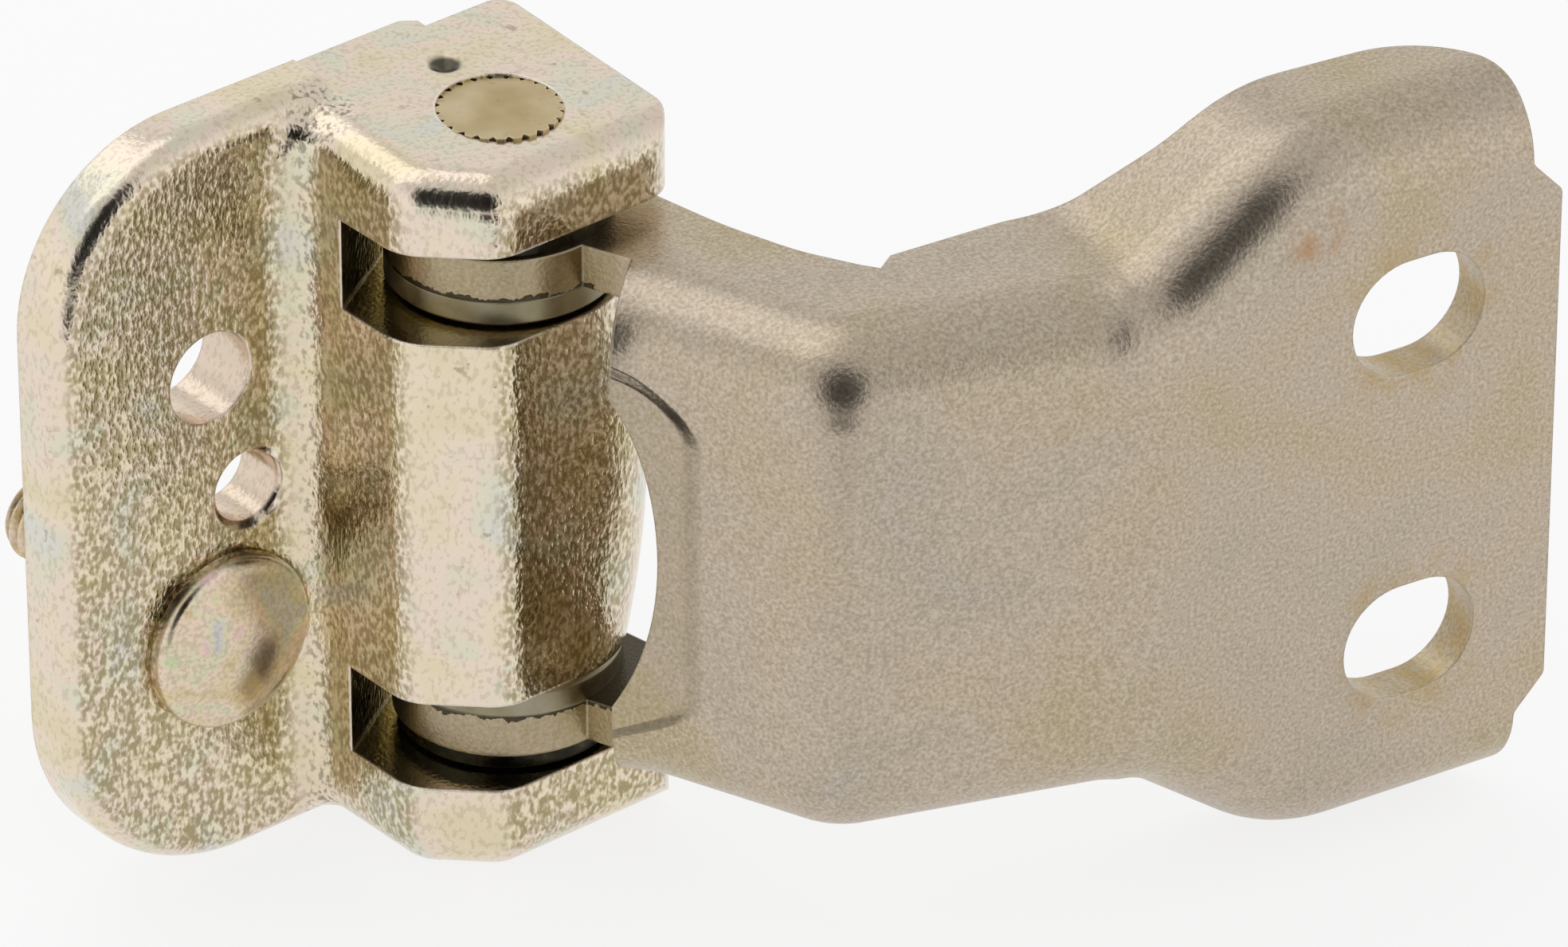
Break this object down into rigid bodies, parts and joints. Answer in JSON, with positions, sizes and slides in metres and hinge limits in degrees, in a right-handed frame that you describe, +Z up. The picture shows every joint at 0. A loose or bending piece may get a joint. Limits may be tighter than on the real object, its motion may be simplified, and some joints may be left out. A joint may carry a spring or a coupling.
{
  "type": "car door hinge",
  "caption": "Car door hinge with a drawn steel pillar leaf, a forged door leaf carrying a stud, and a splined pin in flanged bushes.",
  "frame": {"origin": "centre of the two bolt slots on the pillar leaf's mounting face", "axes": "+X along the mounting face away from the pin, +Y from the mounting face into the channel, +Z up along the hinge pin"},
  "size_m": [0.1198, 0.0764, 0.0716],
  "materials": {
    "pressed_steel": "satin zinc plate with a fine grain",
    "forged_steel": "glossy yellow zinc plate over a pitted forged skin",
    "pin_steel": "matt cut end",
    "bush_steel": "satin grey",
    "washer_steel": "glossy black",
    "stud_steel": "satin gold zinc plate"
  },
  "bodies": {
    "pillar": {"pillar_leaf": "pressed_steel", "upper_bush": "bush_steel", "lower_bush": "bush_steel", "upper_thrust_washer": "washer_steel", "lower_thrust_washer": "washer_steel"},
    "door": {"door_leaf": "forged_steel", "hinge_pin": "pin_steel", "door_stud": "stud_steel"}
  },
  "joints": [
    {"name": "door_swing", "type": "hinge", "parent": "pillar", "child": "door", "pos_m": [-0.064, 0.0435, 0], "axis": [0, 0, 1], "range_deg": [-10, 65]}
  ]
}
